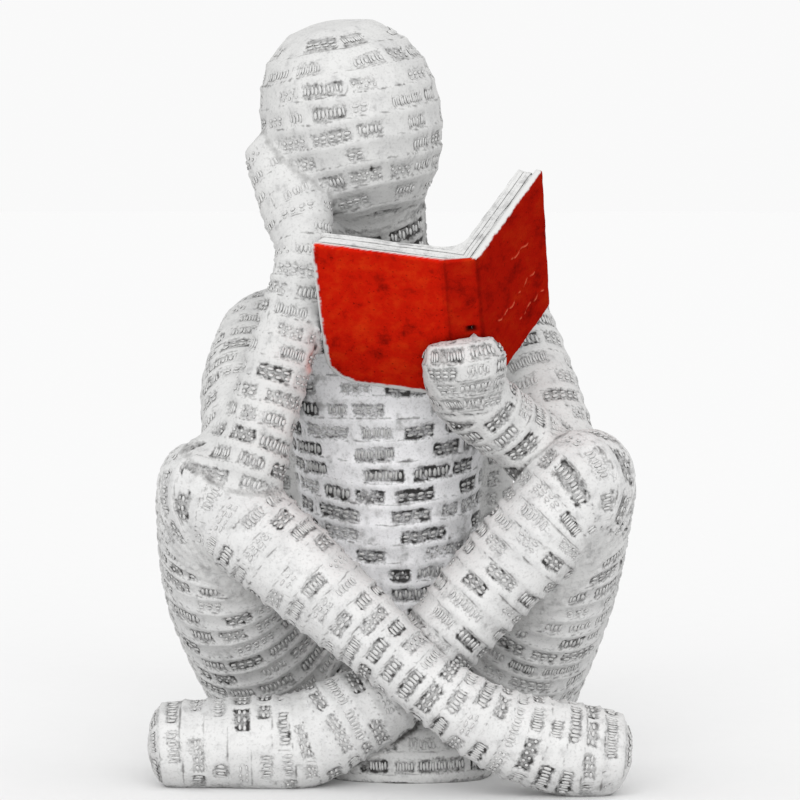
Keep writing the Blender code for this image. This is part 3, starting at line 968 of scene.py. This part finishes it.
def makePages():
    chance = random.Random(8)
    bm = bmesh.new()
    inset = book["pagesInset"]
    width, height = book["boardWidth"] - inset, book["boardHeight"] - inset
    corners = (book["wornCorner"], book["pageCorner"], book["pageCorner"], book["pageCorner"])
    step = book["pages"] / book["leaves"]
    for k in range(book["leaves"]):
        near = book["board"] - book["sunk"] + k * step
        far = near + step - book["leafGap"]
        left, right, foot, head = (chance.uniform(0, book["unevenLeaves"]) for _ in range(4))
        valley = book["valley"] if k == book["leaves"] - 1 else 0
        openSlab(bm, (width - left, width - right), near, far, inset + foot, height - head, corners, valley)
    bmesh.ops.recalc_face_normals(bm, faces=bm.faces)
    longEdges = [edge for edge in bm.edges if edge.calc_length() > 4 * mm]
    bmesh.ops.subdivide_edges(bm, edges=longEdges, cuts=14, use_grid_fill=True)
    wash = bm.verts.layers.float.new("wash")
    least, most, size = book["pageWash"]
    for vert in bm.verts:
        spot = vert.co / (book["rippleLength"] * mm)
        shake = [noise.noise(spot + Vector((book["rippleShift"] * k,) * 3)) for k in range(3)]
        vert.co += Vector(shake) * book["ripple"] * mm
        vert[wash] = least + most * abs(noise.noise(vert.co / (size * mm)))
    mesh = meshFrom(bm, "pages")
    mesh.transform(bookPlace)
    return mesh


print("book")
coverMesh = makeCover()
pagesMesh = makePages()
print("cover faces", len(coverMesh.polygons), "pages faces", len(pagesMesh.polygons))


# Materials

def layered(material, patterns, look, color):
    # the look's colours laid over one another, each where its pattern is strong
    for name, low, high, most, layer in look["layers"]:
        share = addNode(material, "ShaderNodeMapRange", {
            "Value": patterns[name], "From Min": low, "From Max": high, "To Max": most,
        })
        color = addNode(material, "ShaderNodeMix", {
            "Factor": share.outputs[0], 6: color, 7: linearColor(look[layer]),
        }, data_type="RGBA").outputs[2]
    return color


def readPatterns(material, look, vectors):
    # the look's noises by name, each on one of the vectors, and the attributes that its pieces carry
    patterns = {}
    for name, (vector, size, detail, roughness) in look["noises"].items():
        patterns[name] = addNode(material, "ShaderNodeTexNoise", {
            "Vector": vectors[vector], "Scale": 1 / (size * mm), "Detail": detail, "Roughness": roughness,
        }).outputs["Fac"]
    for name in look["attributes"]:
        patterns[name] = addNode(material, "ShaderNodeAttribute", attribute_name=name).outputs["Fac"]
    return patterns


resin = {
    # the lightest white is painted light on faces towards the front lamp; wash and dark are also laid as
    # painted shade in crevices, hollows and undersides
    "white": "C8C8C7", "paintedFrontLight": "F4F4F6", "shade": "B2B2B2", "wash": "666564", "dark": "1F1D1C",
    "stain": "D98F86",
    "roughness": 0.72,
    # the vector, size in mm, detail and roughness of each pattern in the paint
    "noises": {
        "mottle": ("plain", 2.2, 5.0, 0.62), "grit": ("plain", 0.42, 3.0, 0.6),
        "cloud": ("plain", 9.0, 3.0, 0.5),
    },
    "attributes": ("wash", "panel", "ridge", "paintedFrontLight", "stain"),
    # from the bottom up: pattern, where it starts, where it is full, how much it then covers, colour
    "layers": (
        # painted light: the lighter white where the skin faces the front lamp
        ("paintedFrontLight", 0.0, 1.0, 1.0, "paintedFrontLight"),
        ("cloud", 0.42, 0.75, 0.45, "shade"),
        ("mottle", 0.50, 0.68, 0.6, "shade"),
        ("grit", 0.52, 0.74, 0.3, "wash"),
        # the wash, partly painted shade in crevices, hollows and undersides
        ("washAndShade", 0.16, 0.78, 0.9, "wash"),
        ("washAndShade", 0.62, 1.1, 0.85, "dark"),
        ("lined", 0.26, 0.54, 0.85, "wash"),
        ("worded", 0.10, 0.66, 0.97, "dark"),
        ("smeared", 0.0, 1.0, 1.0, "stain"),
    ),
    "leastPanel": 0.06,
    "bump": 0.12,  # mm
}


def washedResin():
    # polyester casting resin, brushed white and wiped with a thin grey-black wash: grey veils on the flats,
    # near-black left in the sunk words and creases, painted shade in crevices, hollows and undersides, and a
    # lighter white painted on the faces towards the front lamp as painted light
    material = newMaterial("washedResin")
    place = addNode(material, "ShaderNodeTexCoord").outputs["Object"]
    patterns = readPatterns(material, resin, {"plain": place})
    # each new pattern: the node's operation and its values, where a name stands for a pattern
    for name, operation, *values in (
        ("torn", "MULTIPLY_ADD", "mottle", 1.5, -0.75),
        ("washAndShade", "ADD", "wash", "torn"),
        ("lined", "MULTIPLY", "ridge", "mottle"),
        ("tornFine", "MULTIPLY_ADD", "grit", 0.8, -0.4),
        ("broken", "ADD", "panel", "tornFine"),
        ("marked", "GREATER_THAN", "panel", resin["leastPanel"]),
        ("worded", "MULTIPLY", "broken", "marked"),
        ("smeared", "MULTIPLY", "stain", "mottle"),
        ("rough", "ADD", "grit", "mottle"),
    ):
        inputs = {i: patterns.get(value, value) for i, value in enumerate(values)}
        patterns[name] = addNode(material, "ShaderNodeMath", inputs, operation=operation).outputs[0]
    color = layered(material, patterns, resin, linearColor(resin["white"]))
    bump = addNode(material, "ShaderNodeBump", {
        "Height": patterns["rough"], "Strength": 0.35, "Distance": resin["bump"] * mm,
    })
    shader = addNode(material, "ShaderNodeBsdfPrincipled", {
        "Base Color": color, "Roughness": resin["roughness"], "Normal": bump.outputs[0],
        "Specular IOR Level": 0.35,
    })
    return finishMaterial(material, shader)


enamel = {
    # worn is the raised lines' lighter pink, partly worn paint and partly a painted highlight
    "red": "B91909", "orange": "CE3A12", "deep": "5C0806", "pit": "3A0605", "worn": "E87A5A",
    "hole": "1A0404",
    "roughness": 0.5,
    "stretch": (1.0, 0.35, 1.0),  # of the brush's streaks
    "noises": {"streak": ("stretched", 3.4, 6.0, 0.65), "grit": ("plain", 0.45, 3.0, 0.5)},
    "attributes": ("paint", "hinge", "shaded", "crest", "hole"),
    "layers": (
        ("streak", 0.50, 0.70, 0.55, "orange"),
        ("streak", 0.47, 0.32, 0.7, "deep"),
        # painted shade on the right board and the spine
        ("shaded", 0.0, 1.0, 0.5, "deep"),
        ("hinge", 0.0, 1.0, 0.6, "deep"),
        ("grit", 0.64, 0.72, 0.7, "pit"),
        # lighter pink on the raised lines' tops: partly worn paint, partly a painted highlight
        ("crest", 0.3, 0.9, 0.5, "worn"),
        ("hole", 0.0, 1.0, 1.0, "hole"),
    ),
    "bump": 0.1,  # mm
}


def redEnamel():
    # brushed acrylic enamel over resin: streaky red that thins to orange, darker in the hinges, bare at rims,
    # with painted shade deepening the right board and the spine, and lighter pink on the raised lines, partly
    # worn paint and partly a painted highlight
    material = newMaterial("redEnamel")
    place = addNode(material, "ShaderNodeTexCoord").outputs["Object"]
    stretched = addNode(material, "ShaderNodeMapping", {"Vector": place, "Scale": enamel["stretch"]})
    patterns = readPatterns(material, enamel, {"plain": place, "stretched": stretched.outputs[0]})
    painted = layered(material, patterns, enamel, linearColor(enamel["red"]))
    color = addNode(material, "ShaderNodeMix", {
        "Factor": patterns["paint"], 6: linearColor(resin["white"]), 7: painted,
    }, data_type="RGBA")
    bump = addNode(material, "ShaderNodeBump", {
        "Height": patterns["grit"], "Strength": 0.3, "Distance": enamel["bump"] * mm,
    })
    shader = addNode(material, "ShaderNodeBsdfPrincipled", {
        "Base Color": color.outputs[2], "Roughness": enamel["roughness"], "Normal": bump.outputs[0],
        "Specular IOR Level": 0.0,  # the soft studio light would leave a pink veil on the right board
    })
    return finishMaterial(material, shader)


def mattePaper():
    # plain seamless background paper: even, pale and dull
    material = newMaterial("mattePaper")
    place = addNode(material, "ShaderNodeTexCoord").outputs["Object"]
    tooth = addNode(material, "ShaderNodeTexNoise", {"Vector": place, "Scale": 1 / (4 * mm), "Detail": 2.0})
    low, high = studio["floorTone"]
    tone = addNode(material, "ShaderNodeMapRange", {
        "Value": tooth.outputs["Fac"], "To Min": low, "To Max": high,
    })
    shader = addNode(material, "ShaderNodeBsdfPrincipled", {
        "Base Color": tone.outputs[0], "Roughness": 0.9, "Specular IOR Level": 0.0,
    })
    return finishMaterial(material, shader)


print("materials")
washedResinMaterial = washedResin()
redEnamelMaterial = redEnamel()

skin = addPiece("skin", thinned(skinMesh, skinLook["triangles"]), washedResinMaterial)
strokes = [addPiece(zone + "Strokes", mesh, washedResinMaterial) for zone, mesh in strokeMeshes.items()]
cover = addPiece("bookCover", coverMesh, redEnamelMaterial)
pages = addPiece("bookPages", pagesMesh, washedResinMaterial)
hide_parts("figure")
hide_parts("book")
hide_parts("book")
for piece in (skin, *strokes, cover, pages):
    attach(piece, "root")


# Studio

studio = {
    "target": (0.00139, -0.00638, 0.05966), "distance": 0.6184, "elevation": 3.0,
    "seen": 0.12608,  # m, the width in view at the target
    "sensor": 36,  # mm
    "sky": 0.95,
    "floorTone": (0.803, 0.817), "floorSize": 30,  # m to each side
    "sun": {"from": (-0.03, -1.0, 0.40), "power": 1.95, "spread": 60},  # the spread in degrees
}


def makeCamera():
    data = bpy.data.cameras.new("camera")
    camera = addObject("camera", data)
    rise = math.radians(studio["elevation"])
    back = Vector((0, -math.cos(rise), math.sin(rise)))
    camera.location = Vector(studio["target"]) + back * studio["distance"]
    camera.rotation_euler = (-back).to_track_quat("-Z", "Y").to_euler()
    data.sensor_width = studio["sensor"]
    data.lens = studio["sensor"] / 2 / (studio["seen"] / 2 / studio["distance"])
    data.clip_start = 0.01
    data.clip_end = 20
    bpy.context.scene.camera = camera


def makeLights():
    data = bpy.data.lights.new("softbox", "SUN")
    data.energy = studio["sun"]["power"]
    data.angle = math.radians(studio["sun"]["spread"])
    lamp = addObject("softbox", data)
    lamp.rotation_euler = Vector(studio["sun"]["from"]).to_track_quat("Z", "Y").to_euler()
    world = bpy.data.worlds.new("sky")
    bpy.context.scene.world = world
    world.use_nodes = True
    world.node_tree.nodes["Background"].inputs["Color"].default_value = (1, 1, 1, 1)
    world.node_tree.nodes["Background"].inputs["Strength"].default_value = studio["sky"]


def makeFloor():
    # a pale sheet under the statue that runs far back and meets the white sky
    bm = bmesh.new()
    bmesh.ops.create_grid(bm, x_segments=12, y_segments=12, size=studio["floorSize"])
    addPiece("floor", meshFrom(bm, "floor"), mattePaper())


print("studio")
makeCamera()
makeLights()
makeFloor()
bpy.context.scene.view_settings.view_transform = "Standard"
